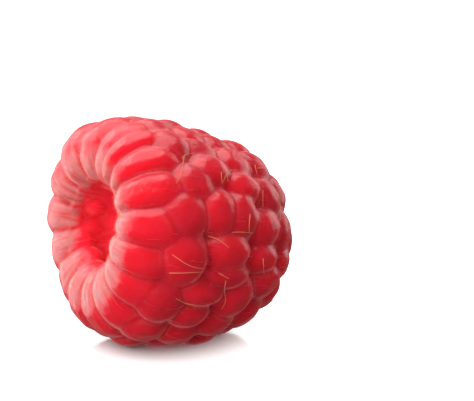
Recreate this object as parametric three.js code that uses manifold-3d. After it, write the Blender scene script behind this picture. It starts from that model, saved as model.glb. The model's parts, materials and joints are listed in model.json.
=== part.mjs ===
// A picked raspberry lying on its side, its open hollow end towards -X and slightly raised.
// It is one natural body: rows of drupelets fused round the hollow that the receptacle left.
// The berry is laid out in a frame of its own: +Y runs out of the hollow, +X is its upper side
// and +Z its near side. The last step turns that frame to the way the berry lies on the surface.
import * as THREE from 'three';
import { mergeVertices } from 'three/addons/utils/BufferGeometryUtils.js';
import Module from 'manifold-3d';

const wasm = await Module();
wasm.setup();

// ---- driving dimensions, in millimetres and degrees ----

const lieAngle = 10.8;        // how far the hollow's axis rises above the surface
const widestRadius = 10.9;    // axis to the crests at the widest row
const rimLength = 7.8;        // widest row to the rim
const rimPower = 3.2;         // squareness of the shoulder between them
const tipLength = 13.9;       // widest row to the blunt tip
const tipPower = 2.2;         // squareness of the curve between them

const rimSlant = 0.09;        // how much the rim leans out, for each millimetre off the axis
const rimSlantBearing = -25;  // the side on which it leans out most
const rimShift = 0.35;        // how far the rim sits off the axis
const rimShiftBearing = 300;
const tipDrop = 0.35;         // how far the tip sags below the axis

const crestSpread = 0.12;     // uneven crest heights, up or down
const sizeSpread = 0.05;      // uneven drupelet sizes, as a share
const placeSpread = 0.09;     // uneven places on the far side, as a share of the distance between drupelets

// Each drupelet is placed by [bearing, arc, size, lift]. The bearing goes round the axis from the
// upper side over the near side, the arc runs along the profile from the middle of the open end,
// and the lift raises it off the profile or sinks it in.

// Rim lobes: long drupelets folded over the rim.
const rimPlaces = [
  [6, 10.2, 1, -0.4], [21, 10.3], [36, 10.9], [55, 10.4], [76, 9.7], [97, 8.2], [117, 8.3],
  [142, 8.3, 1.1], [165, 8.5, 1.08], [188, 8.7, 1.08], [213, 8.9, 1.08, -0.3],
  [240, 9.3, 1.05, -0.3], [266, 9.7], [292, 10.2, 1, 0.2], [318, 10.2, 1.04, 0.4], [343, 10.2, 1, -0.2],
];
const rimLobe = { arc: 10.2, halfLength: 3.75, height: 2.1, foldRadius: 2.4, taper: 0.22, overlap: 1.24 };

// Rows of the body, from the rim to the tip. The near side's drupelets are listed, and those of
// the far side share out the rest of the row at its arc.
const bodyRows = [
  { arc: 14.1, farCount: 8, near: [
    [0, 14.0, 1, -0.2], [24, 14.2], [50, 15.4], [68, 14.2, 1.12], [92, 14.6, 1.05], [120, 13.5], [144, 13.5],
  ] },
  { arc: 17.8, farCount: 7, near: [
    [0, 17.8, 1, -0.7], [26, 17.1, 1, -0.4], [41, 17.5], [65, 17.8], [86, 19.3, 1.1], [100, 19.6, 1.15],
    [111, 17.2, 1.15], [126, 16.9], [146, 17.4],
  ] },
  { arc: 21.4, farCount: 6, near: [
    [0, 21.4, 1, -0.7], [30, 21.2, 1, -0.3], [48, 21.3], [65, 20.6, 0.95], [116, 21.6], [136, 20.8],
    [161, 21.4], [186, 21.4, 1, -0.35],
  ] },
  { arc: 24.9, farCount: 7, near: [
    [22, 25.0], [48, 25.0], [70, 24.2], [90, 24.2], [107, 25.9, 1.15], [136, 24.8],
  ] },
  { arc: 28.2, farCount: 5, near: [[30, 28.3], [68, 27.7], [96, 28.4], [130, 28.6]] },
  { arc: 31.6, farCount: 4, near: [[0, 31.6]] },
  { arc: 35.0, farCount: 0, near: [[0, 35.0]] },
];
const bodyDrupelet = { halfLength: 2.4, height: 2.0, overlap: 1.12, mostHalfWidth: 2.6 };

const coreDepth = 1.6;        // the core under the drupelets lies this far below their crests
const hollowMouth = 4.7;      // radius of the hollow at its open end
const hollowEnd = 3.3;        // radius near its closed end
const hollowDepth = 13.2;     // from the rim to the closed end
const flatDepth = 0.35;       // how much of the lowest drupelets the flat spots take

const lobeSides = 10;         // faces round a drupelet
const lobeBands = 8;          // faces from end to end

// ---- the berry's profile ----

// One side of the long section: a rounded square from the axis over the shoulder to the widest
// row, then a blunter curve to the tip. x is the radius and y the place on the axis.
class Profile extends THREE.Curve {
  getPoint(u, target = new THREE.Vector2()) {
    if (u < 0.5) {
      const angle = Math.PI * u;
      const power = 2 / rimPower;
      return target.set(
        widestRadius * Math.sin(angle) ** power,
        rimLength * Math.cos(angle) ** power,
      );
    }
    const angle = Math.PI * (u - 0.5);
    const power = 2 / tipPower;
    return target.set(
      widestRadius * Math.max(0, Math.cos(angle)) ** power,
      -tipLength * Math.sin(angle) ** power,
    );
  }
}

const profile = new Profile();
profile.arcLengthDivisions = 4000;
const profileLength = profile.getLength();

// A repeatable draw between -1 and 1 for one drupelet.
function draw(row, index, salt) {
  const value = Math.sin(row * 12.9898 + index * 78.233 + salt * 37.719) * 43758.5453;
  return (value - Math.floor(value)) * 2 - 1;
}

// How much an off-centre form shows at a place on the axis: 0 at the widest row, 1 at the end.
function fadeToRim(y) {
  return Math.max(0, y / rimLength) ** 1.5;
}

function fadeToTip(y) {
  return Math.max(0, -y / tipLength) ** 2;
}

// The crest point at an arc and bearing, with the directions along, across and out of the skin.
function placeOnSkin({ arc, bearing, lift }) {
  const u = Math.min(arc / profileLength, 1);
  const point = profile.getPointAt(u);
  const slope = profile.getTangentAt(u);
  const turn = THREE.MathUtils.degToRad(bearing);
  const radial = new THREE.Vector3(Math.cos(turn), 0, Math.sin(turn));
  const axis = new THREE.Vector3(0, 1, 0);
  const along = radial.clone().multiplyScalar(slope.x).addScaledVector(axis, slope.y);
  const out = radial.clone().multiplyScalar(-slope.y).addScaledVector(axis, slope.x);
  const across = new THREE.Vector3().crossVectors(along, out);

  const crest = radial.clone().multiplyScalar(point.x).addScaledVector(axis, point.y);
  crest.addScaledVector(out, lift);
  const rimFade = fadeToRim(point.y);
  const slantTurn = turn - THREE.MathUtils.degToRad(rimSlantBearing);
  crest.y += rimSlant * point.x * Math.cos(slantTurn) * rimFade;
  const shiftTurn = THREE.MathUtils.degToRad(rimShiftBearing);
  crest.x += rimShift * Math.cos(shiftTurn) * rimFade - tipDrop * fadeToTip(point.y);
  crest.z += rimShift * Math.sin(shiftTurn) * rimFade;
  return { crest, along, across, out, radius: point.x };
}

// ---- solids ----

function toManifold(geometry) {
  const bare = geometry.clone();
  bare.deleteAttribute('normal');
  bare.deleteAttribute('uv');
  const merged = mergeVertices(bare, 1e-4);
  return new wasm.Manifold(new wasm.Mesh({
    numProp: 3,
    vertProperties: new Float32Array(merged.attributes.position.array),
    triVerts: new Uint32Array(merged.index.array),
  }));
}

function toGeometry(manifold) {
  const mesh = manifold.getMesh();
  const geometry = new THREE.BufferGeometry();
  geometry.setAttribute('position', new THREE.BufferAttribute(mesh.vertProperties, 3));
  geometry.setIndex(new THREE.BufferAttribute(mesh.triVerts, 1));
  geometry.computeVertexNormals();
  return geometry;
}

// A drupelet: a ball stretched along the profile, wider at its outer end where it has a taper,
// and folded over where it has a fold radius.
function makeDrupelet(place, shape) {
  const ball = new THREE.SphereGeometry(1, lobeSides, lobeBands);
  const position = ball.attributes.position;
  const point = new THREE.Vector3();
  for (let i = 0; i < position.count; i += 1) {
    point.fromBufferAttribute(position, i);
    let along = shape.halfLength * point.y;
    let out = shape.height * point.z;
    const across = shape.halfWidth * point.x * (1 + shape.taper * point.y);
    if (shape.foldRadius > 0) {
      const turn = along / shape.foldRadius;
      along = (shape.foldRadius + out) * Math.sin(turn);
      out = (shape.foldRadius + out) * Math.cos(turn) - shape.foldRadius;
    }
    point.copy(place.crest);
    point.addScaledVector(place.along, along);
    point.addScaledVector(place.across, across);
    point.addScaledVector(place.out, out - shape.height);
    position.setXYZ(i, point.x, point.y, point.z);
  }
  return toManifold(ball);
}

// Half the width of a drupelet that fills the room between its neighbours in the row.
function halfRoom(places, index, radius, overlap) {
  const before = places[(index + places.length - 1) % places.length].bearing;
  const after = places[(index + 1) % places.length].bearing;
  const gap = places.length > 1 ? ((after - before + 360) % 360) / 2 : 360;
  return overlap * radius * THREE.MathUtils.degToRad(gap) / 2;
}

function namePlace([bearing, arc, size = 1, lift = 0]) {
  return { bearing, arc, size, lift };
}

// The lobes that fold over the rim.
function makeRimLobes() {
  const rimRadius = profile.getPointAt(rimLobe.arc / profileLength).x;
  const places = rimPlaces.map(namePlace);
  return places.map((place, index) => makeDrupelet(placeOnSkin(place), {
    ...rimLobe,
    halfLength: rimLobe.halfLength * place.size,
    halfWidth: halfRoom(places, index, rimRadius, rimLobe.overlap) * place.size,
  }));
}

// All the places of one body row: the near side's, then the far side's, evenly spaced but for
// small draws.
function fillRow(row, rowIndex) {
  const places = row.near.map(namePlace);
  const last = places[places.length - 1].bearing;
  const step = (places[0].bearing + 360 - last) / (row.farCount + 1);
  for (let index = 1; index <= row.farCount; index += 1) {
    places.push({
      bearing: last + step * (index + placeSpread * draw(rowIndex, index, 1)),
      arc: row.arc + 2 * bodyDrupelet.halfLength * placeSpread * draw(rowIndex, index, 2),
      size: 1 + sizeSpread * draw(rowIndex, index, 3),
      lift: crestSpread * draw(rowIndex, index, 4),
    });
  }
  return places;
}

// The rows between the rim and the tip.
function makeBodyDrupelets() {
  return bodyRows.flatMap((row, rowIndex) => {
    const places = fillRow(row, rowIndex);
    return places.map((place, index) => {
      const onSkin = placeOnSkin(place);
      const room = halfRoom(places, index, onSkin.radius, bodyDrupelet.overlap);
      return makeDrupelet(onSkin, {
        halfLength: bodyDrupelet.halfLength * place.size,
        halfWidth: Math.min(room, bodyDrupelet.mostHalfWidth) * place.size,
        height: bodyDrupelet.height,
        taper: 0,
        foldRadius: 0,
      });
    });
  });
}

// The flesh under the creases, turned round the axis.
function makeCore() {
  const steps = 24;
  const points = [];
  for (let i = 0; i <= steps; i += 1) {
    const point = profile.getPointAt(1 - i / steps);
    const slope = profile.getTangentAt(1 - i / steps);
    const x = Math.max(0, point.x + slope.y * coreDepth);
    const y = point.y - slope.x * coreDepth;
    points.push(new THREE.Vector2(i === 0 || i === steps ? 0 : x, y));
  }
  return toManifold(new THREE.LatheGeometry(points, 32));
}

// The space that the receptacle left: a blunt cone, open at the rim.
function makeHollow() {
  const closedEnd = rimLength - hollowDepth;
  const points = [
    new THREE.Vector2(0, closedEnd),
    new THREE.Vector2(hollowEnd * 0.55, closedEnd + 0.35),
    new THREE.Vector2(hollowEnd * 0.9, closedEnd + 1.3),
    new THREE.Vector2(hollowEnd, closedEnd + 2.6),
    new THREE.Vector2(hollowMouth, rimLength - 2),
    new THREE.Vector2(hollowMouth + 1, rimLength + 3),
    new THREE.Vector2(0, rimLength + 3),
  ];
  return toManifold(new THREE.LatheGeometry(points, 28));
}

// ---- assembly ----

const body = wasm.Manifold.union([makeCore(), ...makeBodyDrupelets()]).subtract(makeHollow());
const fused = wasm.Manifold.union([body, ...makeRimLobes()]);

// Turn the berry to the way it lies.
const lie = THREE.MathUtils.degToRad(lieAngle);
const upperSide = new THREE.Vector3(Math.sin(lie), 0, Math.cos(lie));
const outOfHollow = new THREE.Vector3(-Math.cos(lie), 0, Math.sin(lie));
const nearSide = new THREE.Vector3(0, -1, 0);
const turned = toGeometry(fused);
turned.applyMatrix4(new THREE.Matrix4().makeBasis(upperSide, outOfHollow, nearSide));
turned.computeBoundingBox();
const { min, max } = turned.boundingBox;
turned.translate(-(min.x + max.x) / 2, -(min.y + max.y) / 2, -min.z - flatDepth);

// The flat spots that it rests on.
const below = new THREE.BoxGeometry(60, 60, 10);
below.translate(0, 0, -5);
const resting = toManifold(turned).subtract(toManifold(below));

const skin = new THREE.MeshStandardMaterial({ color: 0xc4202c, roughness: 0.45, metalness: 0 });
const raspberry = new THREE.Mesh(toGeometry(resting), skin);
raspberry.name = 'raspberry';

const group = new THREE.Group();
group.add(raspberry);
export default group;
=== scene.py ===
import json
import math

import bpy
import numpy as np
from mathutils import Matrix, Vector, noise
from mathutils.bvhtree import BVHTree

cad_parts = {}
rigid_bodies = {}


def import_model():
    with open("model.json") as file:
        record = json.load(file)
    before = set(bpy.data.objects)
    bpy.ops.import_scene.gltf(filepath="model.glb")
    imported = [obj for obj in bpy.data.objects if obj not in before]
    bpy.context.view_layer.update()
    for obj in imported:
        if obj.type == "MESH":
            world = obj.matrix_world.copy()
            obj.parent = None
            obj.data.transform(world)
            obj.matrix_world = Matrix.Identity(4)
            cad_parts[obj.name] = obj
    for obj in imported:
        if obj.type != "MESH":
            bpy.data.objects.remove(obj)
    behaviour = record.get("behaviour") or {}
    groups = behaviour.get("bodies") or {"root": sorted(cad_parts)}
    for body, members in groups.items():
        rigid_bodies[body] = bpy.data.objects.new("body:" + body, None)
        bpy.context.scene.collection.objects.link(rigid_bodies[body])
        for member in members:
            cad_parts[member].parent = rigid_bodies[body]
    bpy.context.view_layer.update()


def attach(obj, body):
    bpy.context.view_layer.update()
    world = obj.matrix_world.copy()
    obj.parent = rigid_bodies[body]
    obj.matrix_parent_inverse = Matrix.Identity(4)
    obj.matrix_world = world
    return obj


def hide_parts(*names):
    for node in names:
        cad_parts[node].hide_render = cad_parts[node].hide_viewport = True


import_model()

mm = 0.001
nudge = 0.005             # a step along the skin too small to see, in millimetres
black, white = (0, 0, 0, 1), (1, 1, 1, 1)


def selectOnly(*objs):
    if bpy.context.object and bpy.context.object.mode != "OBJECT":
        bpy.ops.object.mode_set(mode="OBJECT")
    bpy.ops.object.select_all(action="DESELECT")
    for obj in objs:
        obj.select_set(True)
    bpy.context.view_layer.objects.active = objs[0] if objs else None


def selectVerts(obj, wanted):
    # vertices are picked in object mode, then edit mode takes them over
    bpy.ops.object.mode_set(mode="EDIT")
    bpy.ops.mesh.select_mode(type="VERT")
    bpy.ops.mesh.select_all(action="DESELECT")
    bpy.ops.object.mode_set(mode="OBJECT")
    for vert in obj.data.vertices:
        vert.select = wanted(vert.co)
    bpy.ops.object.mode_set(mode="EDIT")


def applyModifier(obj, kind, **settings):
    selectOnly(obj)
    bpy.ops.object.modifier_add(type=kind)
    modifier = obj.modifiers[-1]
    for key, value in settings.items():
        setattr(modifier, key, value)
    bpy.ops.object.modifier_apply(modifier=modifier.name)


def joinAll(name, objs):
    selectOnly(*objs)
    bpy.ops.object.join()
    joined = bpy.context.object
    joined.name = name
    joined.data.name = name
    return joined


def copyMesh(obj):
    # each copy has its own mesh
    copy = obj.copy()
    copy.data = obj.data.copy()
    bpy.context.collection.objects.link(copy)
    return copy


def readCoords(mesh):
    coords = np.zeros(len(mesh.vertices) * 3, np.float64)
    mesh.vertices.foreach_get("co", coords)
    return coords.reshape(-1, 3)


def writeCoords(mesh, coords):
    mesh.vertices.foreach_set("co", np.asarray(coords, np.float32).ravel())
    mesh.update()


def runAlong(points):
    # how far each point of a line lies from its start, along the line
    return np.concatenate([[0], np.cumsum(np.linalg.norm(np.diff(points, axis=0), axis=1))])


def unitRows(rows):
    return rows / np.linalg.norm(rows, axis=1, keepdims=True)


# the berry's plan follows the same rule and values as the solid, in millimetres and degrees
berry = {
    "origin": (-3.14, 0.0, 10.45),    # where the axis crosses the widest row
    "lieAngle": 10.8,                 # how far the hollow's axis rises
    "widestRadius": 10.9,
    "rimLength": 7.8,
    "rimPower": 3.2,
    "tipLength": 13.9,
    "tipPower": 2.2,
    "rimSlant": 0.09,
    "rimSlantBearing": -25,
    "rimShift": 0.35,
    "rimShiftBearing": 300,
    "rimFadePower": 1.5,              # how soon slant and shift fade away from the rim
    "tipDrop": 0.35,
    "tipFadePower": 2,                # and the drop away from the tip
    "crestSpread": 0.12,
    "sizeSpread": 0.05,
    "placeSpread": 0.09,
}
rim = {
    # bearing round the axis from the upper side over the near side and arc of the crest, then size
    # and lift where they aren't plain
    "places": [(6, 10.2, 1, -0.4), (21, 10.3), (36, 10.9), (55, 10.4), (76, 9.7), (97, 8.2),
               (117, 8.3), (142, 8.3, 1.1), (165, 8.5, 1.08), (188, 8.7, 1.08),
               (213, 8.9, 1.08, -0.3), (240, 9.3, 1.05, -0.3), (266, 9.7), (292, 10.2, 1, 0.2),
               (318, 10.2, 1.04, 0.4), (343, 10.2, 1, -0.2)],
    "arc": 10.2,
    "halfLength": 3.75,
    "height": 2.1,
    "foldRadius": 2.4,
    "taper": 0.22,
    "overlap": 1.24,
}
body = {
    # each row: arc, how many share out the far side, and the near side's places
    "rows": [
        (14.1, 8, [(0, 14.0, 1, -0.2), (24, 14.2), (50, 15.4), (68, 14.2, 1.12), (92, 14.6, 1.05),
                   (120, 13.5), (144, 13.5)]),
        (17.8, 7, [(0, 17.8, 1, -0.7), (26, 17.1, 1, -0.4), (41, 17.5), (65, 17.8),
                   (86, 19.3, 1.1), (100, 19.6, 1.15), (111, 17.2, 1.15), (126, 16.9),
                   (146, 17.4)]),
        (21.4, 6, [(0, 21.4, 1, -0.7), (30, 21.2, 1, -0.3), (48, 21.3), (65, 20.6, 0.95),
                   (116, 21.6), (136, 20.8), (161, 21.4), (186, 21.4, 1, -0.35)]),
        (24.9, 7, [(22, 25.0), (48, 25.0), (70, 24.2), (90, 24.2), (107, 25.9, 1.15),
                   (136, 24.8)]),
        (28.2, 5, [(30, 28.3), (68, 27.7), (96, 28.4), (130, 28.6)]),
        (31.6, 4, [(0, 31.6)]),
        (35.0, 0, [(0, 35.0)]),
    ],
    "halfLength": 2.4,
    "height": 2.0,
    "overlap": 1.12,
    "mostHalfWidth": 2.6,
}
plainPlace = (1, 0)       # size and lift where a place gives none
axis = np.array([0.0, 1.0, 0.0])      # out of the hollow, in the berry's own frame


def profileTable(steps=4000):
    # one side of the long section, from the axis at the rim over the shoulder to the tip
    turn = np.linspace(0, math.pi / 2, steps)
    rimPower, tipPower = 2 / berry["rimPower"], 2 / berry["tipPower"]
    shoulder = np.stack([berry["widestRadius"] * np.sin(turn) ** rimPower,
                         berry["rimLength"] * np.abs(np.cos(turn)) ** rimPower], 1)
    tip = np.stack([berry["widestRadius"] * np.abs(np.cos(turn[1:])) ** tipPower,
                    -berry["tipLength"] * np.sin(turn[1:]) ** tipPower], 1)
    points = np.concatenate([shoulder, tip])
    return points, runAlong(points)


profilePoints, profileRun = profileTable()


def onProfile(arc):
    return np.array([np.interp(arc, profileRun, profilePoints[:, k]) for k in (0, 1)])


def radialAt(bearing):
    return np.array([math.cos(bearing), 0, math.sin(bearing)])


# an uneven draw runs from -1 to 1 and is the same on every run; each kind has a number of its own
drawKinds = {"turn": 1, "slide": 2, "size": 3, "lift": 4, "cellTurn": 5, "cellSlide": 6,
             "bright": 7}
drawSteps = (12.9898, 78.233, 37.719)
drawSpread = 43758.5453


def unevenDraw(row, index, kind):
    byRow, byIndex, byKind = drawSteps
    turn = row * byRow + index * byIndex + drawKinds[kind] * byKind
    value = math.sin(turn) * drawSpread
    return (value - math.floor(value)) * 2 - 1


def placeOnSkin(arc, bearing, lift=0):
    # crest point and the directions along, across and out of the skin, in the berry's own frame
    arc = min(arc, profileRun[-1] - 2 * nudge)
    point = onProfile(arc)
    slope = onProfile(arc + nudge) - onProfile(arc - nudge)
    slope = slope / np.linalg.norm(slope)
    radial = radialAt(bearing)
    along = radial * slope[0] + axis * slope[1]
    out = axis * slope[0] - radial * slope[1]
    crest = radial * point[0] + axis * point[1] + out * lift
    rimFade = max(0, point[1] / berry["rimLength"]) ** berry["rimFadePower"]
    tipFade = max(0, -point[1] / berry["tipLength"]) ** berry["tipFadePower"]
    slantTurn = bearing - math.radians(berry["rimSlantBearing"])
    crest[1] += berry["rimSlant"] * point[0] * math.cos(slantTurn) * rimFade
    shiftTurn = math.radians(berry["rimShiftBearing"])
    shiftUp = berry["rimShift"] * math.cos(shiftTurn) * rimFade
    crest[0] += shiftUp - berry["tipDrop"] * tipFade
    crest[2] += berry["rimShift"] * math.sin(shiftTurn) * rimFade
    return {"crest": crest, "along": along, "across": np.cross(along, out), "out": out,
            "radius": point[0]}


lie = math.radians(berry["lieAngle"])
berryAxes = np.array([[math.sin(lie), 0, math.cos(lie)],      # upper side
                      [-math.cos(lie), 0, math.sin(lie)],     # out of the hollow
                      [0, -1, 0]])                            # near side


def toFrame(points):
    # the berry's own frame in millimetres to the shared frame in metres
    return (np.asarray(points) @ berryAxes + np.array(berry["origin"])) * mm


def fromFrame(points):
    return (np.asarray(points) / mm - np.array(berry["origin"])) @ berryAxes.T


def halfRoom(places, index, radius, overlap):
    # half the width that the neighbours in the row leave
    if len(places) == 1:
        return math.inf
    gap = (places[(index + 1) % len(places)][0] - places[index - 1][0]) % 360 / 2
    return overlap * radius * math.radians(gap) / 2


def fullPlaces(places):
    return [(*place, *plainPlace[len(place) - 2:]) for place in places]


def fillRow(row, rowIndex):
    # the near side's places as given, then the far side's, shared out unevenly
    arc, farCount, near = row
    places = fullPlaces(near)
    last = places[-1][0]
    step = (places[0][0] + 360 - last) / (farCount + 1)
    for index in range(1, farCount + 1):
        turn, slide, size, lift = (unevenDraw(rowIndex, index, kind)
                                   for kind in ("turn", "slide", "size", "lift"))
        places.append((last + step * (index + berry["placeSpread"] * turn),
                       arc + 2 * body["halfLength"] * berry["placeSpread"] * slide,
                       1 + berry["sizeSpread"] * size,
                       berry["crestSpread"] * lift))
    return places


def planLobes():
    # every drupelet: where it sits and its shape
    lobes = []
    rimRadius = onProfile(rim["arc"])[0]
    places = fullPlaces(rim["places"])
    for index, (bearing, arc, size, lift) in enumerate(places):
        shape = {key: rim[key] for key in ("height", "taper", "foldRadius")}
        shape["halfLength"] = rim["halfLength"] * size
        shape["halfWidth"] = halfRoom(places, index, rimRadius, rim["overlap"]) * size
        place = placeOnSkin(arc, math.radians(bearing), lift)
        lobes.append({"row": 0, "place": place, "shape": shape})
    for rowIndex, row in enumerate(body["rows"]):
        places = fillRow(row, rowIndex)
        for index, (bearing, arc, size, lift) in enumerate(places):
            place = placeOnSkin(arc, math.radians(bearing), lift)
            room = halfRoom(places, index, place["radius"], body["overlap"])
            shape = {"halfLength": body["halfLength"] * size, "height": body["height"],
                     "taper": 0, "foldRadius": 0,
                     "halfWidth": min(room, body["mostHalfWidth"]) * size}
            lobes.append({"row": rowIndex + 1, "place": place, "shape": shape})
    return lobes


lobes = planLobes()
print("plan:", len(lobes), "drupelets")

drupelet = {
    "segments": 30,
    "rings": 20,
    "waistTop": -0.3,         # the root is narrower below this share of the height
    "waist": 0.86,
    "crestEdge": 0.985,       # the crest is pressed in above this one
    "crestDip": 0.035,
}


def modelDrupelet():
    # one drupelet of unit size: +Y towards the tip, +Z out of the skin
    selectOnly()
    bpy.ops.mesh.primitive_uv_sphere_add(segments=drupelet["segments"],
                                         ring_count=drupelet["rings"], radius=1)
    obj = bpy.context.object
    selectVerts(obj, lambda co: co.z < drupelet["waistTop"])
    bpy.ops.transform.resize(value=(drupelet["waist"], drupelet["waist"], 1))
    selectVerts(obj, lambda co: co.z > drupelet["crestEdge"])
    bpy.ops.transform.translate(value=(0, 0, -drupelet["crestDip"]))
    bpy.ops.object.mode_set(mode="OBJECT")
    return obj


def setDrupelet(master, lobe):
    # a copy of the modelled drupelet, stretched, folded and set in its place
    copy = copyMesh(master)
    place, shape = lobe["place"], lobe["shape"]
    coords = readCoords(copy.data)
    along = shape["halfLength"] * coords[:, 1]
    out = shape["height"] * coords[:, 2]
    across = shape["halfWidth"] * coords[:, 0] * (1 + shape["taper"] * coords[:, 1])
    fold = shape["foldRadius"]
    if fold:
        turn = along / fold
        along = (fold + out) * np.sin(turn)
        out = (fold + out) * np.cos(turn) - fold
    points = (place["crest"] + along[:, None] * place["along"] + across[:, None] * place["across"]
              + (out - shape["height"])[:, None] * place["out"])
    writeCoords(copy.data, toFrame(points))
    return copy


master = modelDrupelet()
rimCopies = [setDrupelet(master, lobe) for lobe in lobes if lobe["row"] == 0]
bodyCopies = [setDrupelet(master, lobe) for lobe in lobes if lobe["row"] > 0]

# core and hollow are both turned round the axis
core = {"depth": 1.6, "sides": 64, "steps": 30}
hollow = {
    "mouth": 4.7,
    "end": 3.3,
    "depth": 13.2,
    "rounding": [(0, 0), (0.55, 0.35), (0.9, 1.3), (1, 2.6)],     # share of the end, and how far on
    "mouthInset": 2,
    "flare": (1, 3),              # how much it widens, and how far on, past the rim
    "sides": 64,
}
closedEnd = berry["rimLength"] - hollow["depth"]


def spinProfile(name, points, sides, weld=0.001):
    # points are (radius, place on the axis); the outline is drawn as edges, spun and closed
    mesh = bpy.data.meshes.new(name)
    edges = [(i, i + 1) for i in range(len(points) - 1)]
    mesh.from_pydata([(radius, 0, place) for radius, place in points], edges, [])
    obj = bpy.data.objects.new(name, mesh)
    bpy.context.collection.objects.link(obj)
    selectOnly(obj)
    bpy.ops.object.mode_set(mode="EDIT")
    bpy.ops.mesh.select_all(action="SELECT")
    bpy.ops.mesh.spin(steps=sides, angle=2 * math.pi, center=(0, 0, 0), axis=(0, 0, 1))
    bpy.ops.mesh.select_all(action="SELECT")
    bpy.ops.mesh.remove_doubles(threshold=weld)
    bpy.ops.mesh.normals_make_consistent(inside=False)
    bpy.ops.object.mode_set(mode="OBJECT")
    # spun round Z, and laid on the berry's own axis
    writeCoords(mesh, toFrame(readCoords(mesh)[:, [0, 2, 1]] * [1, 1, -1]))
    return obj


def makeCore():
    points = []
    for i in range(core["steps"] + 1):
        arc = profileRun[-1] * (1 - i / core["steps"])
        out = placeOnSkin(max(arc, 2 * nudge), 0)["out"]
        x, y = onProfile(arc) - core["depth"] * out[:2]
        points.append((0 if i in (0, core["steps"]) else max(0, x), y))
    return spinProfile("core", points, core["sides"])


def hollowOutline():
    widen, runOn = hollow["flare"]
    return ([(hollow["end"] * share, closedEnd + place) for share, place in hollow["rounding"]]
            + [(hollow["mouth"], berry["rimLength"] - hollow["mouthInset"]),
               (hollow["mouth"] + widen, berry["rimLength"] + runOn)])


def hollowRadius(place):
    radii, places = zip(*hollowOutline())
    return float(np.interp(place, places, radii))


def makeHollow():
    points = hollowOutline()
    return spinProfile("hollow", points + [(0, points[-1][1])], hollow["sides"])


# the inner ends of the drupelets show as low swellings in rings on the hollow's wall
cells = {
    "rings": [(3.5, 10, 0), (1.3, 10, 0.5), (-0.9, 9, 0), (-3.0, 8, 0.5)],  # place, count, turn
    "halfLength": 1.45,
    "height": 1.3,
    "rise": 0.32,
    "overlap": 1.15,
    "turnSpread": 0.15,
    "slideSpread": 0.25,
}


def planCells():
    planned = []
    for ring, count, turn in cells["rings"]:
        radius = hollowRadius(ring)
        halfWidth = cells["overlap"] * math.pi * radius / count
        for index in range(count):
            share = index + turn + cells["turnSpread"] * unevenDraw(ring, index, "cellTurn")
            radial = radialAt(2 * math.pi * share / count)
            level = ring + cells["slideSpread"] * unevenDraw(ring, index, "cellSlide")
            place = {"crest": radial * (radius - cells["rise"]) + axis * level,
                     "along": axis, "across": np.cross(axis, -radial), "out": -radial}
            shape = {"halfLength": cells["halfLength"], "halfWidth": halfWidth,
                     "height": cells["height"], "taper": 0, "foldRadius": 0}
            planned.append({"row": -1, "place": place, "shape": shape})
    return planned


innerCells = planCells()
cellCopies = [setDrupelet(master, cell) for cell in innerCells]

skin = {
    "firstVoxel": 0.2,
    "voxel": 0.17,
    "smoothing": 0.5,
    "smoothRounds": 2,
    "cutSlack": 0.001,
    "topBand": 0.01,
}


def cutFlats(obj):
    # the flat spots that it rests on
    selectOnly(obj)
    bpy.ops.object.mode_set(mode="EDIT")
    bpy.ops.mesh.select_all(action="SELECT")
    bpy.ops.mesh.bisect(plane_co=(0, 0, 0), plane_no=(0, 0, 1), clear_inner=True, use_fill=True,
                        threshold=skin["cutSlack"] * mm)
    bpy.ops.object.mode_set(mode="OBJECT")


def dropPockets(obj):
    # a pocket that closed up between the drupelets is dropped, and all that joins the top stays
    top = float(readCoords(obj.data)[:, 2].max())
    selectVerts(obj, lambda co: co.z > top - skin["topBand"] * mm)
    bpy.ops.mesh.select_linked()
    bpy.ops.mesh.select_all(action="INVERT")
    bpy.ops.mesh.delete(type="VERT")
    bpy.ops.object.mode_set(mode="OBJECT")


flesh = joinAll("flesh", [makeCore()] + bodyCopies)
applyModifier(flesh, "REMESH", mode="VOXEL", voxel_size=skin["firstVoxel"] * mm)
hollowTool = makeHollow()
applyModifier(flesh, "BOOLEAN", operation="DIFFERENCE", object=hollowTool, solver="MANIFOLD")
bpy.data.objects.remove(hollowTool)
print("flesh:", len(flesh.data.polygons), "faces")

raspberry = joinAll("raspberry_skin", [flesh] + rimCopies + cellCopies)
applyModifier(raspberry, "REMESH", mode="VOXEL", voxel_size=skin["voxel"] * mm)
applyModifier(raspberry, "SMOOTH", factor=skin["smoothing"], iterations=skin["smoothRounds"])
bpy.data.objects.remove(master)
cutFlats(raspberry)
dropPockets(raspberry)
bpy.ops.object.shade_smooth()
print("skin:", len(raspberry.data.polygons), "faces")

# each pair is where a mark starts and how far on it is full, in millimetres: reach is measured
# from the axis, and height along it towards the rim
marking = {
    "creaseWidth": 0.45,
    "wallReach": (hollow["mouth"] + 0.2, 0.7),      # from a little past the mouth, inwards
    "wallTop": (6.2, 1.0),
    "wallEnd": (-1.5, 1.0),           # from the hollow's closed end
    "tornReach": (5.7, 1.0),          # its middle and spread
    "tornHeight": (4.5, 0.6),
    "bloomAndSheenOuter": (8.2, 2.0),
    "bloomAndSheenInner": (3.9, 0.8),
    "bloomAndSheenHeight": (4.9, 0.7),
    "bright": (0.35, 0.35),           # middle and spread on the body, where the rim has 1
    "grainStep": 3.7,                 # sets the streaks of neighbours apart
    "narrowest": 0.4,
    "farOff": 9.0,
}


def rise(values, start, width):
    return np.clip((values - start) / width, 0, 1)


def fall(values, start, width):
    return np.clip((start - values) / width, 0, 1)


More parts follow.
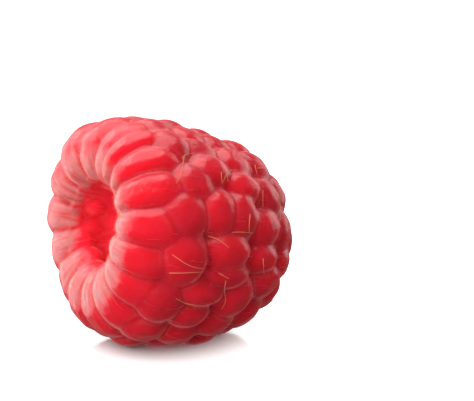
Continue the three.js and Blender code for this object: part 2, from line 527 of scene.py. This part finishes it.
def lobeDepths(lobe, spots):
    # how far each spot lies from the drupelet's middle, 1 on its own surface, and its place on
    # the drupelet
    place, shape = lobe["place"], lobe["shape"]
    offset = spots - place["crest"]
    along, across = offset @ place["along"], offset @ place["across"]
    out = offset @ place["out"] + shape["height"]
    fold = shape["foldRadius"]
    if fold:
        turn = np.arctan2(along, np.maximum(out + fold, 2 * nudge))
        along, out = fold * turn, np.hypot(along, out + fold) - fold
    length, width = shape["halfLength"], shape["halfWidth"]
    narrow = np.maximum(1 + shape["taper"] * np.clip(along / length, -1, 1),
                        marking["narrowest"])
    depth = np.sqrt((along / length) ** 2 + (across / width / narrow) ** 2
                    + (out / shape["height"]) ** 2)
    return depth, across, along


def brightness(lobe, index):
    # the rim's drupelets and the hollow's wall are the brightest, and those of the body vary
    middle, spread = marking["bright"]
    return 1.0 if lobe["row"] < 1 else middle + spread * unevenDraw(lobe["row"], index, "bright")


def markSkin(obj):
    # stored on the mesh: how far from a crease, how bright the drupelet is, the hollow's wall, the
    # mouth's torn edge, the bloom and painted sheen round it, and the place on the drupelet, across
    # and along it
    spots = fromFrame(readCoords(obj.data))
    nearest = np.full(len(spots), marking["farOff"])
    second = nearest.copy()
    owner = np.zeros(len(spots), int)
    grain = np.zeros((len(spots), 3))
    swellings = lobes + innerCells
    for index, lobe in enumerate(swellings):
        depth, across, along = lobeDepths(lobe, spots)
        closer = depth < nearest
        second = np.where(closer, nearest, np.minimum(second, depth))
        owner[closer] = index
        apart = np.full(len(spots), index * marking["grainStep"])
        grain[closer] = np.stack([across, along, apart], 1)[closer]
        nearest = np.minimum(nearest, depth)
    bright = np.array([brightness(lobe, index) for index, lobe in enumerate(swellings)])
    reach, height = np.hypot(spots[:, 0], spots[:, 2]), spots[:, 1]
    tornMiddle, tornSpread = marking["tornReach"]
    marks = {
        "crease": rise(second - nearest, 0, marking["creaseWidth"]),
        "bright": bright[owner],
        "inner": (fall(reach, *marking["wallReach"]) * fall(height, *marking["wallTop"])
                  * rise(height - closedEnd, *marking["wallEnd"])),
        "rimEdge": (np.exp(-((reach - tornMiddle) / tornSpread) ** 2)
                    * rise(height, *marking["tornHeight"])),
        "bloomAndSheen": (fall(reach, *marking["bloomAndSheenOuter"]) * rise(reach, *marking["bloomAndSheenInner"])
                  * rise(height, *marking["bloomAndSheenHeight"])),
    }
    for name, values in marks.items():
        layer = obj.data.attributes.new(name, "FLOAT", "POINT")
        layer.data.foreach_set("value", values.astype(np.float32))
    layer = obj.data.attributes.new("grain", "FLOAT_VECTOR", "POINT")
    layer.data.foreach_set("vector", grain.astype(np.float32).ravel())
    return marks


marks = markSkin(raspberry)
print("skin marked")

dents = {"size": 1.5, "depth": 0.075, "fineSize": 0.6, "fineDepth": 0.02, "fullAbove": 0.5}


def dentSkin(obj):
    # shallow uneven dents, so that no drupelet is a perfect bead, and none at the flat spots
    coords = readCoords(obj.data)
    normals = np.zeros(len(coords) * 3)
    obj.data.vertices.foreach_get("normal", normals)
    shift = np.array([dents["depth"] * noise.noise(Vector(co) / (dents["size"] * mm))
                      + dents["fineDepth"] * noise.noise(Vector(co) / (dents["fineSize"] * mm))
                      for co in coords])
    free = np.clip(coords[:, 2] / (dents["fullAbove"] * mm), 0, 1)
    writeCoords(obj.data, coords + normals.reshape(-1, 3) * (shift * free)[:, None] * mm)


dentSkin(raspberry)
print("skin dented")


def newMaterial(name):
    material = bpy.data.materials.new(name)
    material.use_nodes = True
    return material, material.node_tree, material.node_tree.nodes["Principled BSDF"]


def setInputs(node, values):
    for name, value in values.items():
        node.inputs[name].default_value = value


def plainMaterial(name, look):
    material, _, shader = newMaterial(name)
    setInputs(shader, look)
    return material


def blend(tree, factor, low, high, edges):
    # a colour between two, by a factor socket, that changes between the edges
    ramp = tree.nodes.new("ShaderNodeValToRGB")
    for element, colour, position in zip(ramp.color_ramp.elements, (low, high), edges):
        element.color = colour
        element.position = position
    tree.links.new(factor, ramp.inputs["Fac"])
    return ramp.outputs["Color"]


def readLayer(tree, name, output="Fac"):
    layer = tree.nodes.new("ShaderNodeAttribute")
    layer.attribute_name = name
    return layer.outputs[output]


def addNoise(tree, coords, scale, detail):
    texture = tree.nodes.new("ShaderNodeTexNoise")
    setInputs(texture, {"Scale": scale, "Detail": detail})
    tree.links.new(coords, texture.inputs["Vector"])
    return texture.outputs["Fac"]


def addMath(tree, operation, *values, clamp=False):
    step = tree.nodes.new("ShaderNodeMath")
    step.operation = operation
    step.use_clamp = clamp
    for socket, value in zip(step.inputs, values):
        if isinstance(value, float):
            socket.default_value = value
        else:
            tree.links.new(value, socket)
    return step.outputs["Value"]


def mixColour(tree, factor, first, second):
    mix = tree.nodes.new("ShaderNodeMix")
    mix.data_type = "RGBA"
    # the colour mix's own sockets are factor 0, first 6, second 7 and result 2
    for socket, value in ((0, factor), (6, first), (7, second)):
        if isinstance(value, (float, tuple)):
            mix.inputs[socket].default_value = value
        else:
            tree.links.new(value, mix.inputs[socket])
    return mix.outputs[2]


fleshLook = {
    "bright": (0.49, 0.0105, 0.0225, 1),
    "deep": (0.33, 0.0095, 0.0190, 1),
    # painted shade: a darker red in the creases, where shade falls
    "crease": (0.41, 0.0090, 0.0190, 1),
    # painted light: a lighter red on the hollow's wall, standing in for light through the flesh
    "inner": (0.72, 0.0165, 0.036, 1),
    # painted sheen: a pale colour where the skin turns away from the view
    "paintedSheen": (0.90, 0.17, 0.18, 1),
    # bloom and painted sheen: partly the down's pale colour, partly a painted sheen
    "bloomAndSheen": (0.40, 0.065, 0.067, 1),
    "bloomAndSheenPale": (0.43, 0.160, 0.155, 1),
    "fringe": (0.62, 0.095, 0.095, 1),
    # painted sheen along the torn mouth, in cream
    "torn": (0.88, 0.42, 0.33, 1),
    # each noise is its scale and detail
    "patchNoise": (260, 3),
    "streakNoise": (1, 2),
    "mottleNoise": (1.4, 3),
    "fringeNoise": (300, 1),
    "bumpNoise": (2200, 2),
    "streakStretch": (1.8, 0.35, 1),      # across the drupelet, along it, and between two
    # the edges are where a blend starts and ends
    "patchEdges": (0.35, 0.85),
    "creaseShadeEdges": (0.0, 0.3),
    "mottleEdges": (0.3, 0.66),
    "fringeEdges": (0.08, 0.42),
    "fringePeak": 0.22,
    "fringePatches": (0.4, 0.65),
    "fringeMost": (0.25, 0.25, 0.25, 1),
    "paintedSheenTurn": (0.55, 0.95),
    "bloomAndSheenStreaks": (1.4, -0.95),         # how much the streaks break it up, and how sparse it is
    "bloomAndSheenStrength": 1.5,
    "bloomAndSheenFromCrease": 2.5,
    "paintedSheenStrength": 0.6,
    "tornStrength": 0.4,                  # on top of the edge's
    "roughness": {"From Min": 0.3, "From Max": 0.7, "To Min": 0.22, "To Max": 0.28},
    "bump": {"Strength": 0.5, "Distance": 0.0001},
    "surface": {
        "Subsurface Weight": 1.0,
        "Subsurface Radius": (1.0, 0.10, 0.06),
        "Subsurface Scale": 0.004,
        "Specular IOR Level": 0.55,
        "Sheen Weight": 0.2,
        "Sheen Roughness": 0.4,
        "Sheen Tint": (1.0, 0.5, 0.48, 1),
    },
}


def ripeColour(tree, coords, look):
    # two reds in soft patches, a darker red in the creases as painted shade, and a lighter red in
    # the hollow as painted light
    patches = blend(tree, addNoise(tree, coords, *look["patchNoise"]), look["deep"],
                    look["bright"], look["patchEdges"])
    colour = mixColour(tree, readLayer(tree, "bright"), patches, look["bright"])
    # painted shade: the creases take a darker red
    creaseShade = blend(tree, readLayer(tree, "crease"), white, black, look["creaseShadeEdges"])
    colour = mixColour(tree, creaseShade, colour, look["crease"])
    # painted light: the hollow's wall is lighter
    return mixColour(tree, readLayer(tree, "inner"), colour, look["inner"])


def addBloomAndSheen(tree, colour, grain, streaks, look):
    # a pale streaky bloom lies round the mouth, and stops short of the creases: partly the down's
    # own pale colour and partly painted sheen
    uneven = addMath(tree, "MULTIPLY_ADD", streaks, *look["bloomAndSheenStreaks"])
    patch = addMath(tree, "MULTIPLY_ADD", readLayer(tree, "bloomAndSheen"), look["bloomAndSheenStrength"], uneven,
                    clamp=True)
    away = addMath(tree, "MULTIPLY", readLayer(tree, "crease"), look["bloomAndSheenFromCrease"],
                   clamp=True)
    mottle = blend(tree, addNoise(tree, grain, *look["mottleNoise"]), look["bloomAndSheen"],
                   look["bloomAndSheenPale"], look["mottleEdges"])
    return mixColour(tree, addMath(tree, "MULTIPLY", patch, away), colour, mottle)


def addFringe(tree, colour, coords, look):
    # a thin pale fringe runs beside some of the creases
    fringe = blend(tree, readLayer(tree, "crease"), black, black, look["fringeEdges"])
    fringe.node.color_ramp.elements.new(look["fringePeak"]).color = white
    some = blend(tree, addNoise(tree, coords, *look["fringeNoise"]), black,
                 look["fringeMost"], look["fringePatches"])
    return mixColour(tree, addMath(tree, "MULTIPLY", fringe, some), colour, look["fringe"])


def addPaintedSheenEdge(tree, colour, look):
    # painted sheen: the colour turns pale where the skin turns away from the view, and cream along
    # the torn mouth
    turn = tree.nodes.new("ShaderNodeLayerWeight")
    paintedSheen = blend(tree, turn.outputs["Facing"], black, white, look["paintedSheenTurn"])
    torn = readLayer(tree, "rimEdge")
    paintedSheenColour = mixColour(tree, torn, look["paintedSheen"], look["torn"])
    share = addMath(tree, "MULTIPLY_ADD", torn, look["tornStrength"], look["paintedSheenStrength"])
    return mixColour(tree, addMath(tree, "MULTIPLY", paintedSheen, share), colour, paintedSheenColour)


def makeFleshMaterial(look):
    material, tree, shader = newMaterial("ripeFlesh")
    coords = tree.nodes.new("ShaderNodeTexCoord").outputs["Object"]
    colour = ripeColour(tree, coords, look)
    # fine streaks run along each drupelet
    stretch = tree.nodes.new("ShaderNodeVectorMath")
    stretch.operation = "MULTIPLY"
    stretch.inputs[1].default_value = look["streakStretch"]
    tree.links.new(readLayer(tree, "grain", "Vector"), stretch.inputs[0])
    grain = stretch.outputs["Vector"]
    streaks = addNoise(tree, grain, *look["streakNoise"])
    colour = addBloomAndSheen(tree, colour, grain, streaks, look)
    colour = addFringe(tree, colour, coords, look)
    tree.links.new(addPaintedSheenEdge(tree, colour, look), shader.inputs["Base Color"])
    roughness = tree.nodes.new("ShaderNodeMapRange")
    setInputs(roughness, look["roughness"])
    tree.links.new(streaks, roughness.inputs["Value"])
    tree.links.new(roughness.outputs["Result"], shader.inputs["Roughness"])
    bump = tree.nodes.new("ShaderNodeBump")
    setInputs(bump, look["bump"])
    tree.links.new(addNoise(tree, coords, *look["bumpNoise"]), bump.inputs["Height"])
    tree.links.new(bump.outputs["Normal"], shader.inputs["Normal"])
    setInputs(shader, look["surface"])
    return material


selectOnly(raspberry)
raspberry.data.materials.clear()
raspberry.data.materials.append(makeFleshMaterial(fleshLook))
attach(raspberry, "root")
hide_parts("raspberry")
print("flesh coloured")

# the view also places the styles on the near side
view = {
    "azimuth": -28.4,
    "elevation": 15,
    "distance": 0.26,
    "pixel": 0.0932 * mm,             # what one pixel spans at the berry
    "centre": (150.2, 231.6),         # the pixel at the berry's origin
    "frame": (474, 401),
    "sensor": 36,
    "clip": (0.01, 10),
}


def viewAxes():
    azimuth, elevation = math.radians(view["azimuth"]), math.radians(view["elevation"])
    back = Vector((math.sin(azimuth) * math.cos(elevation),
                   -math.cos(azimuth) * math.cos(elevation), math.sin(elevation)))
    right = Vector((math.cos(azimuth), math.sin(azimuth), 0))
    return right, back.cross(right), back


right, up, back = viewAxes()
cameraPlace = (Vector(berry["origin"]) * mm + back * view["distance"]
               + right * (view["frame"][0] / 2 - view["centre"][0]) * view["pixel"]
               + up * (view["centre"][1] - view["frame"][1] / 2) * view["pixel"])
skinTree = BVHTree.FromPolygons([v.co for v in raspberry.data.vertices],
                                [p.vertices[:] for p in raspberry.data.polygons])


def seenSpot(x, y):
    # where the sight line through the middle of a pixel meets the skin
    width, height = view["frame"]
    sight = (-back * view["distance"] + right * (x + 0.5 - width / 2) * view["pixel"]
             - up * (y + 0.5 - height / 2) * view["pixel"]).normalized()
    spot, normal, _, _ = skinTree.ray_cast(cameraPlace, sight)
    return spot, normal


# dried styles: thin tan threads that lie over the drupelets
style = {
    "rings": 12,
    "sides": 5,
    "width": 0.075,
    "taper": 0.955,
    "lift": 0.10,
    "steps": 14,
    "fewestSteps": 5,
    "roundings": 3,
    "slopeStep": 0.05,
    "crossTo": (0.3, 0.2, 0.93),      # a direction that no thread runs in
    "floorGap": 0.02,
    "seed": 5,
    "share": 0.3,                     # how many of the drupelets out of view bear one
    "outOfView": 0.1,                 # a drupelet that faces the view less is out of it
    "lowest": 1.5,                    # none starts below this height
    "length": (1.8, 3.4),
    "curl": 1.8,                      # the most that one turns either way, in radians
    "look": {"Base Color": (0.52, 0.17, 0.09, 1), "Roughness": 0.6},
    # those that the view shows, as corners in its own frame of pixels
    "inView": [
        [(181, 158), (184, 154), (193, 153)],
        [(183, 156), (182, 166), (181, 176), (175, 183)],
        [(220, 172), (221, 183)],
        [(231, 170), (225, 173), (222, 181)],
        [(225, 174), (227, 181)],
        [(249, 167), (251, 172)],
        [(254, 165), (256, 174)],
        [(256, 168), (264, 168)],
        [(262, 190), (262, 207)],
        [(276, 192), (279, 203), (279, 220)],
        [(249, 214), (248, 223), (248, 232)],
        [(231, 232), (240, 231), (252, 232)],
        [(208, 235), (219, 240), (228, 247)],
        [(172, 254), (180, 260), (190, 266), (202, 268)],
        [(169, 272), (181, 272), (201, 271)],
        [(175, 298), (184, 302), (196, 304)],
        [(218, 273), (228, 278)],
        [(225, 280), (223, 292), (226, 300), (221, 308)],
        [(262, 258), (263, 272)],
    ],
}


def modelThread():
    # one thread of unit length and width along Z, drawn out ring by ring from a small circle
    selectOnly()
    bpy.ops.mesh.primitive_circle_add(vertices=style["sides"], radius=0.5, fill_type="NGON")
    thread = bpy.context.object
    bpy.ops.object.mode_set(mode="EDIT")
    bpy.ops.mesh.select_all(action="SELECT")
    move = {"value": (0, 0, 1 / style["rings"])}
    for _ in range(style["rings"]):
        bpy.ops.mesh.extrude_region_move(TRANSFORM_OT_translate=move)
        bpy.ops.transform.resize(value=(style["taper"], style["taper"], 1))
    bpy.ops.mesh.select_all(action="SELECT")
    bpy.ops.mesh.normals_make_consistent(inside=False)
    bpy.ops.object.mode_set(mode="OBJECT")
    return thread


def layThread(thread, path, width):
    # a copy of the thread, bent along a path of points and kept off the floor
    copy = copyMesh(thread)
    path = np.array(path)
    for _ in range(style["roundings"]):
        path[1:-1] = (path[:-2] + 2 * path[1:-1] + path[2:]) / 4
    run = runAlong(path)
    shape = readCoords(copy.data)
    where = shape[:, 2] * run[-1]
    step = style["slopeStep"] * mm
    spine, ahead, behind = (np.stack([np.interp(places, run, path[:, k]) for k in range(3)], 1)
                            for places in (where, where + step, where - step))
    heading = unitRows(ahead - behind)
    side = unitRows(np.cross(heading, style["crossTo"]))
    points = (spine + shape[:, :1] * width * side
              + shape[:, 1:2] * width * np.cross(heading, side))
    points[:, 2] = np.maximum(points[:, 2], style["floorGap"] * mm)
    writeCoords(copy.data, points)
    return copy


def viewPath(corners):
    # the path on the skin that is seen through a line of pixels
    corners = np.array(corners, float)
    run = runAlong(corners)
    path = []
    for share in np.linspace(0, run[-1], style["steps"]):
        x, y = (np.interp(share, run, corners[:, k]) for k in (0, 1))
        spot, normal = seenSpot(x, y)
        if spot is not None:
            path.append(spot + normal * style["lift"] * mm)
    return path


def wanderPath(spot, normal, heading, length, curl):
    # a path that sets off over the skin, and rises off it and curls as it goes
    path = []
    steps = style["steps"]
    for step in range(steps):
        path.append(spot + normal * style["lift"] * mm * (1 + step / steps))
        heading = heading + normal.cross(heading) * curl / steps
        heading = (heading - normal * heading.dot(normal)).normalized()
        spot, normal, _, _ = skinTree.find_nearest(spot + heading * length / steps)
    return path


def makeStyles():
    draws = np.random.default_rng(style["seed"])
    thread = modelThread()
    paths = [viewPath(corners) for corners in style["inView"]]
    for lobe in lobes[len(rim["places"]):]:
        keep, turn, length, curl = draws.random(4)
        spot, normal, _, _ = skinTree.find_nearest(Vector(toFrame(lobe["place"]["crest"])))
        seen = normal.dot(back) > style["outOfView"]
        if keep > style["share"] or seen or spot.z < style["lowest"] * mm:
            continue
        sideways = normal.cross(Vector((0, 0, 1))).normalized()
        heading = Matrix.Rotation(turn * 2 * math.pi, 3, normal) @ sideways
        low, high = style["length"]
        paths.append(wanderPath(spot, normal, heading, (low + (high - low) * length) * mm,
                                style["curl"] * (curl * 2 - 1)))
    copies = [layThread(thread, path, style["width"] * mm) for path in paths
              if len(path) >= style["fewestSteps"]]
    bpy.data.objects.remove(thread)
    return joinAll("styles", copies)


stylePiece = makeStyles()
stylePiece.data.materials.append(plainMaterial("driedStyle", style["look"]))
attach(stylePiece, "root")
print("styles:", len(stylePiece.data.polygons), "faces")

# down: short pale hairs all over, thickest in the creases and at the rim
down = {
    "count": 7000,
    "length": (0.2, 0.5),
    "width": 0.008,
    "stem": 0.5,                      # the share of a hair below its bend
    "stemTop": 0.35,                  # its radius there, where the root's is 0.5
    "lean": 1.3,
    "leanAnyWay": 0.6,
    "leanToTip": 0.5,
    "curl": 0.45,
    "seed": 11,
    "everywhere": 0.01,               # the weights say how thick it stands
    "inCreases": 0.3,
    "creaseEdge": 0.25,
    "atRim": 3.0,
    "lessInside": 0.85,
    "lowest": 0.6,                    # none grows below this height
    "floorGap": 0.02,
    "look": {"Base Color": (0.86, 0.11, 0.11, 1), "Roughness": 0.6},
}


def modelHair():
    # one hair of unit length and unit width: three sides, a bend and a point
    selectOnly()
    stem = down["stem"]
    bpy.ops.mesh.primitive_cone_add(vertices=3, radius1=0.5, radius2=down["stemTop"], depth=stem,
                                    location=(0, 0, stem / 2), end_fill_type="NGON")
    hair = bpy.context.object
    bpy.ops.object.transform_apply(location=True)
    selectVerts(hair, lambda co: co.z > stem / 2)
    bpy.ops.mesh.extrude_region_move(TRANSFORM_OT_translate={"value": (0, 0, 1 - stem)})
    bpy.ops.mesh.merge(type="CENTER")
    bpy.ops.mesh.select_all(action="SELECT")
    bpy.ops.mesh.normals_make_consistent(inside=False)
    bpy.ops.object.mode_set(mode="OBJECT")
    return hair


def skinSpots(obj, count, weights, draws):
    # spots drawn over the skin, by area and by a weight for each vertex
    mesh = obj.data
    mesh.calc_loop_triangles()
    tris = np.zeros(len(mesh.loop_triangles) * 3, int)
    mesh.loop_triangles.foreach_get("vertices", tris)
    tris = tris.reshape(-1, 3)
    corners = readCoords(mesh)[tris]
    edges = corners[:, 1:] - corners[:, :1]
    normals = np.cross(edges[:, 0], edges[:, 1])
    chance = np.linalg.norm(normals, axis=1) * weights[tris].mean(1)
    picks = draws.choice(len(tris), count, p=chance / chance.sum())
    share = draws.random((count, 2))
    share = np.where(share.sum(1, keepdims=True) > 1, 1 - share, share)
    spots = (corners[picks, 0] + share[:, :1] * edges[picks, 0]
             + share[:, 1:] * edges[picks, 1])
    return spots, unitRows(normals[picks])


def makeDown():
    draws = np.random.default_rng(down["seed"])
    height = readCoords(raspberry.data)[:, 2]
    weights = (down["everywhere"] + down["inCreases"] * (marks["crease"] < down["creaseEdge"])
               + down["atRim"] * marks["rimEdge"])
    weights = (weights * (height > down["lowest"] * mm)
               * (1 - down["lessInside"] * marks["inner"]))
    spots, out = skinSpots(raspberry, down["count"], weights, draws)
    tipward = np.array([1.0, 0, 0]) - out * out[:, :1]
    lean = draws.normal(size=out.shape) * down["leanAnyWay"] + tipward * down["leanToTip"]
    lean -= out * (lean * out).sum(1, keepdims=True)
    grow = unitRows(out + down["lean"] * lean)
    side = unitRows(np.cross(grow, draws.normal(size=out.shape)))
    across = np.cross(grow, side)
    curl = across * down["curl"]
    length = draws.uniform(*down["length"], len(spots))[:, None, None] * mm
    width = down["width"] * mm
    hair = modelHair()
    shape = readCoords(hair.data)
    faces = [list(face.vertices) for face in hair.data.polygons]
    bpy.data.objects.remove(hair)
    x, y, z = (shape[None, :, k:k + 1] for k in range(3))
    points = (spots[:, None] + z * length * grow[:, None] + x * width * side[:, None]
              + y * width * across[:, None] + z ** 2 * length * curl[:, None])
    points[..., 2] = np.maximum(points[..., 2], down["floorGap"] * mm)
    mesh = bpy.data.meshes.new("down")
    step = len(shape)
    mesh.from_pydata(points.reshape(-1, 3).tolist(), [],
                     [[v + step * i for v in face] for i in range(len(spots)) for face in faces])
    obj = bpy.data.objects.new("down", mesh)
    bpy.context.collection.objects.link(obj)
    return obj


downPiece = makeDown()
downPiece.data.materials.append(plainMaterial("paleDown", down["look"]))
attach(downPiece, "root")
print("down:", len(downPiece.data.polygons), "faces")

stage = {
    "floorSize": 2.6,
    "floorLook": {"Base Color": (0.9, 0.9, 0.9, 1), "Roughness": 0.2, "IOR": 2.0},
    "wallRadius": 1.2,
    "wallHeight": 1.6,
    "wallMiddle": 0.79,
    "wallLook": {"Base Color": (0.9, 0.9, 0.9, 1), "Emission Color": white,
                 "Emission Strength": 1.0},
    "skyStrength": 10.0,
    "skySpread": 150,
    "roomLight": 0.3,
    "aim": (0, 0, 0.01),
}
# place is right, up and towards the camera from the berry, in metres; shines is for gloss, fills
# for the plain light
softboxes = [
    {"name": "topSoftbox", "place": (-0.12, 0.46, 0.0), "size": 0.8, "radiance": 2.25},
    {"name": "leftSoftbox", "place": (-0.45, 0.12, -0.16), "size": 0.9, "radiance": 1.8,
     "fills": False},
    {"name": "rightSoftbox", "place": (0.36, 0.20, -0.30), "size": 0.4, "radiance": 1.2},
    {"name": "frontFill", "place": (-0.28, 0.08, 0.44), "size": 0.6, "radiance": 6.9,
     "shines": False},
    {"name": "rightFill", "place": (0.42, 0.05, 0.10), "size": 0.5, "radiance": 1.4,
     "shines": False},
]


def makeFloor():
    selectOnly()
    bpy.ops.mesh.primitive_plane_add(size=stage["floorSize"], location=(0, 0, 0))
    floor = bpy.context.object
    floor.name = "floor"
    floor.data.materials.append(plainMaterial("paleFloor", stage["floorLook"]))
    floor.visible_glossy = False
    floor.visible_diffuse = False
    return floor


def makeBackdrop():
    # a wide white wall round the floor, which only the camera sees
    selectOnly()
    bpy.ops.mesh.primitive_cylinder_add(radius=stage["wallRadius"], depth=stage["wallHeight"],
                                        location=(0, 0, stage["wallMiddle"]),
                                        end_fill_type="NOTHING")
    backdrop = bpy.context.object
    backdrop.name = "backdrop"
    backdrop.data.materials.append(plainMaterial("whiteWall", stage["wallLook"]))
    for kind in ("visible_diffuse", "visible_glossy", "visible_transmission", "visible_shadow"):
        setattr(backdrop, kind, False)


def makeCamera():
    data = bpy.data.cameras.new("camera")
    camera = bpy.data.objects.new("camera", data)
    bpy.context.collection.objects.link(camera)
    data.sensor_width = view["sensor"]
    data.lens = data.sensor_width * view["distance"] / (view["frame"][0] * view["pixel"])
    data.clip_start, data.clip_end = view["clip"]
    camera.location = cameraPlace
    camera.rotation_mode = "QUATERNION"
    camera.rotation_quaternion = Matrix((right, up, back)).transposed().to_quaternion()
    bpy.context.scene.camera = camera


def addLamp(name, data, objs):
    # the lamp reaches nothing but these
    lamp = bpy.data.objects.new(name, data)
    bpy.context.collection.objects.link(lamp)
    lamp.light_linking.receiver_collection = bpy.data.collections.new(name + "Lights")
    for obj in objs:
        lamp.light_linking.receiver_collection.objects.link(obj)
    return lamp


def addSky(name, obj):
    # even light from straight above
    data = bpy.data.lights.new(name, "SUN")
    data.energy = stage["skyStrength"]
    data.angle = math.radians(stage["skySpread"])
    addLamp(name, data, [obj])


def addSoftbox(objs, name, place, size, radiance, shines=True, fills=True):
    data = bpy.data.lights.new(name, "AREA")
    data.shape = "DISK"
    data.size = size
    data.energy = radiance * math.pi * math.pi * (size / 2) ** 2
    lamp = addLamp(name, data, objs)
    lamp.visible_glossy = shines
    lamp.visible_diffuse = fills
    lamp.location = right * place[0] + up * place[1] + back * place[2]
    lamp.rotation_mode = "QUATERNION"
    lamp.rotation_quaternion = (lamp.location - Vector(stage["aim"])).to_track_quat("Z", "Y")


floor = makeFloor()
makeBackdrop()
makeCamera()
for softbox in softboxes:
    addSoftbox((raspberry, stylePiece, downPiece), **softbox)
addSky("floorLight", floor)
world = bpy.data.worlds.new("studio")
bpy.context.scene.world = world
world.use_nodes = True
setInputs(world.node_tree.nodes["Background"], {"Color": white, "Strength": stage["roomLight"]})
world.cycles_visibility.glossy = False
bpy.context.scene.view_settings.view_transform = "Standard"
print("stage set")
